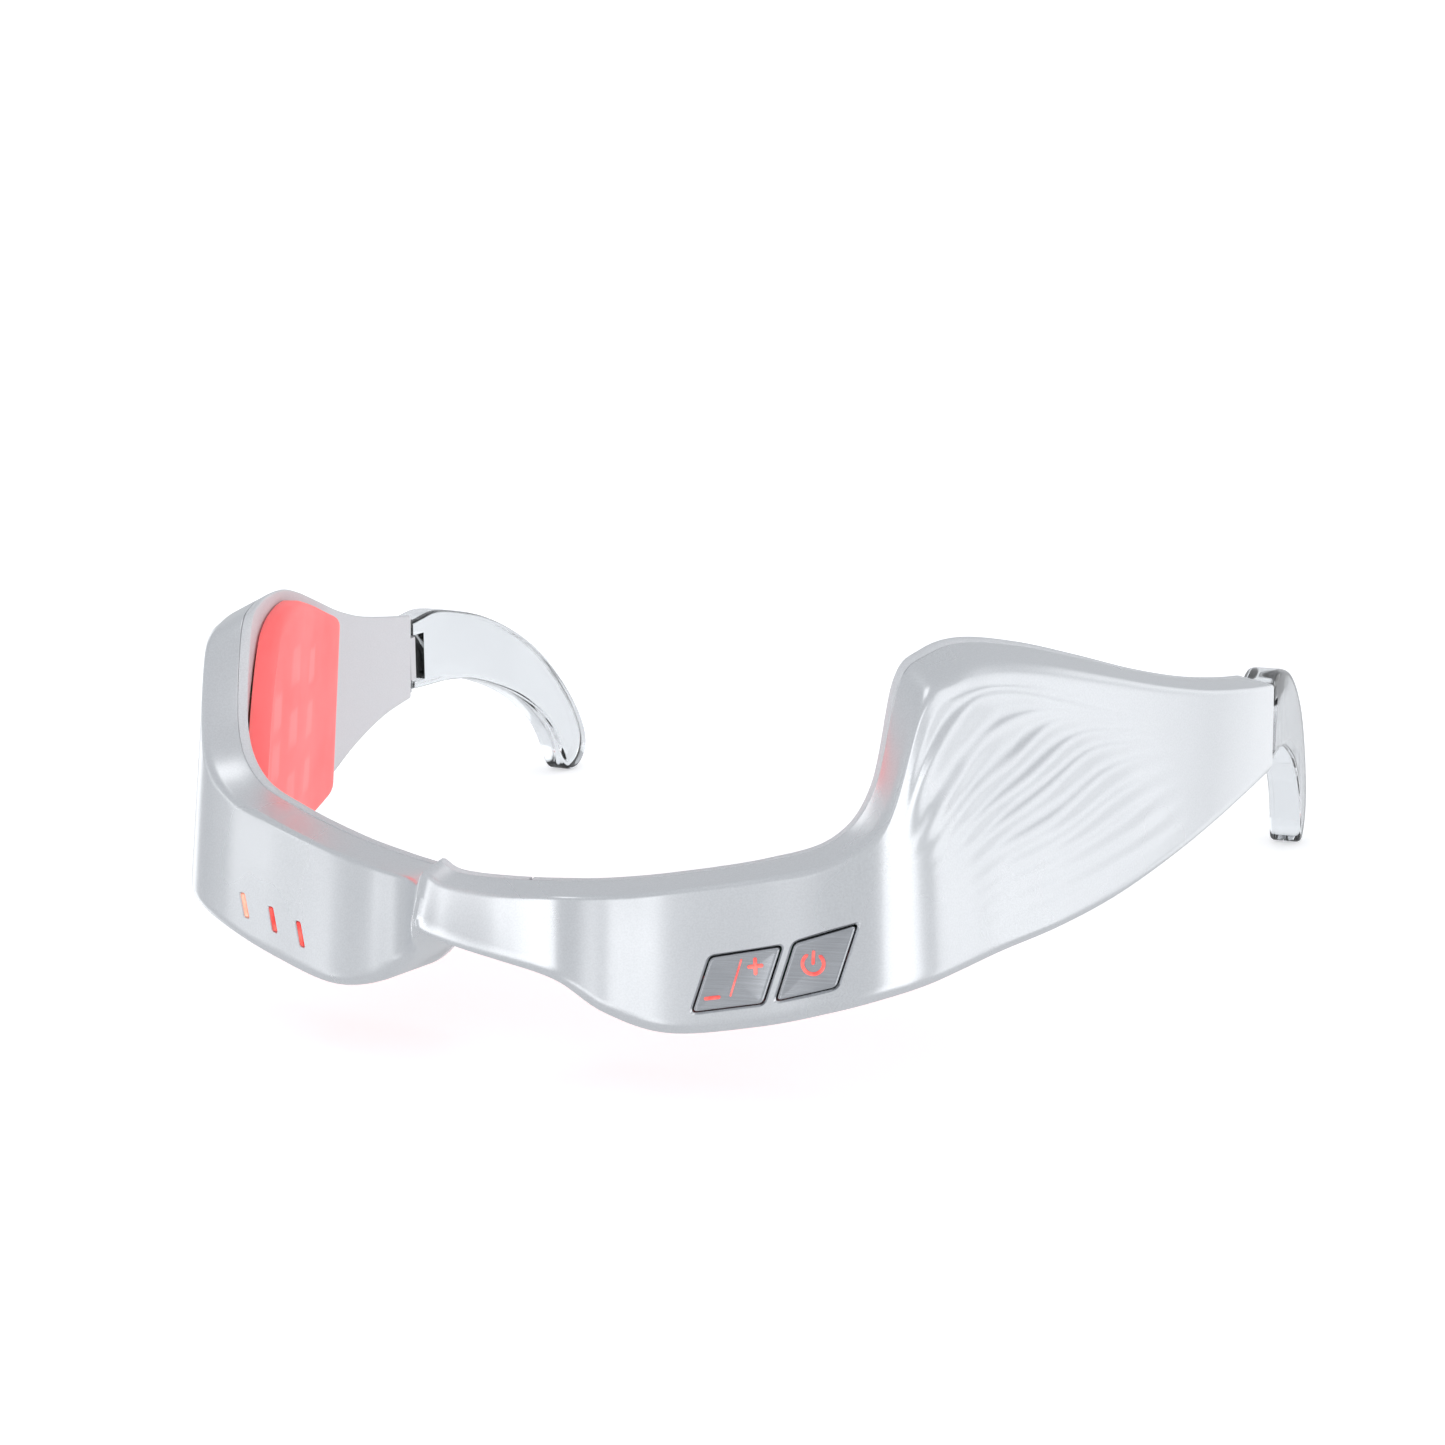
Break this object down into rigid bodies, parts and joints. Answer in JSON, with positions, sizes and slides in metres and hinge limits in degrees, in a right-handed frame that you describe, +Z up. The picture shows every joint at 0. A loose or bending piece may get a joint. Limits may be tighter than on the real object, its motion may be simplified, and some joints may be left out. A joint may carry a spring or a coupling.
{
  "type": "eye massager mask",
  "caption": "Wrap-around eye massager mask with lit silicone pads, front keys, indicator windows and clear folding ear hooks.",
  "frame": {"origin": "middle of the footprint, on the plane touched by the lowest points, the tips of the ear hooks", "axes": "+Z up, -Y the way the wearer faces, +X the wearer's left; lengths along Y, heights along Z"},
  "size_m": [0.1454, 0.1686, 0.0512],
  "materials": {
    "pearl_casing": "pearl silver lacquer with a soft sheen",
    "frosted_grey": "fine frosted texture",
    "satin_keys": "brushed satin silver",
    "black_plastic": "moulded",
    "red_silicone": "translucent satin silicone, lit red from behind",
    "clear_acrylic": "polished clear acrylic",
    "red_window": "translucent red light pipe",
    "circuit_board": "solder mask",
    "battery_foil": "crimped foil",
    "flex_copper": "polyimide film",
    "dark_steel": "zinc plated",
    "bright_steel": "bright"
  },
  "bodies": {
    "front": {"outer_shell": "pearl_casing", "bridge_liner": "frosted_grey", "switch_minus": "black_plastic", "switch_plus": "black_plastic", "switch_power": "black_plastic", "main_board": "circuit_board", "indicator_board": "circuit_board", "indicator_window_1": "red_window", "indicator_window_2": "red_window", "indicator_window_3": "red_window", "battery": "battery_foil", "charging_socket": "bright_steel", "flex_cable": "flex_copper", "inner_cover_left": "frosted_grey", "light_pad_left": "red_silicone", "light_board_left": "circuit_board", "vibration_motor_left": "bright_steel", "cover_screw_left_1": "dark_steel", "cover_screw_left_2": "dark_steel", "cover_screw_left_3": "dark_steel", "hinge_bracket_left": "frosted_grey", "bracket_screw_left_1": "dark_steel", "bracket_screw_left_2": "dark_steel", "inner_cover_right": "frosted_grey", "light_pad_right": "red_silicone", "light_board_right": "circuit_board", "vibration_motor_right": "bright_steel", "cover_screw_right_1": "dark_steel", "cover_screw_right_2": "dark_steel", "cover_screw_right_3": "dark_steel", "hinge_bracket_right": "frosted_grey", "bracket_screw_right_1": "dark_steel", "bracket_screw_right_2": "dark_steel"},
    "left_hook": {"ear_hook_left": "clear_acrylic", "hinge_pin_left": "bright_steel"},
    "right_hook": {"ear_hook_right": "clear_acrylic", "hinge_pin_right": "bright_steel"},
    "power_key": {"power_button": "satin_keys"},
    "level_rocker": {"level_key": "satin_keys"}
  },
  "joints": [
    {"name": "left_hook_fold", "type": "hinge", "parent": "front", "child": "left_hook", "pos_m": [0.06876, 0.02761, 0.02943], "axis": [0, 0, 1], "range_deg": [0, 90]},
    {"name": "right_hook_fold", "type": "hinge", "parent": "front", "child": "right_hook", "pos_m": [-0.06876, 0.02761, 0.02943], "axis": [0, 0, -1], "range_deg": [0, 90]},
    {"name": "power_press", "type": "slide", "parent": "front", "child": "power_key", "axis": [-0.3387, 0.9409, 0], "range_m": [0, 0.00025], "stiffness_N_per_m": 800},
    {"name": "level_rock", "type": "hinge", "parent": "front", "child": "level_rocker", "pos_m": [0.03014, -0.06523, 0.01553], "axis": [0.2326, 0.0597, 0.9707], "range_deg": [-3, 3], "stiffness_Nm_per_rad": 0.02}
  ]
}
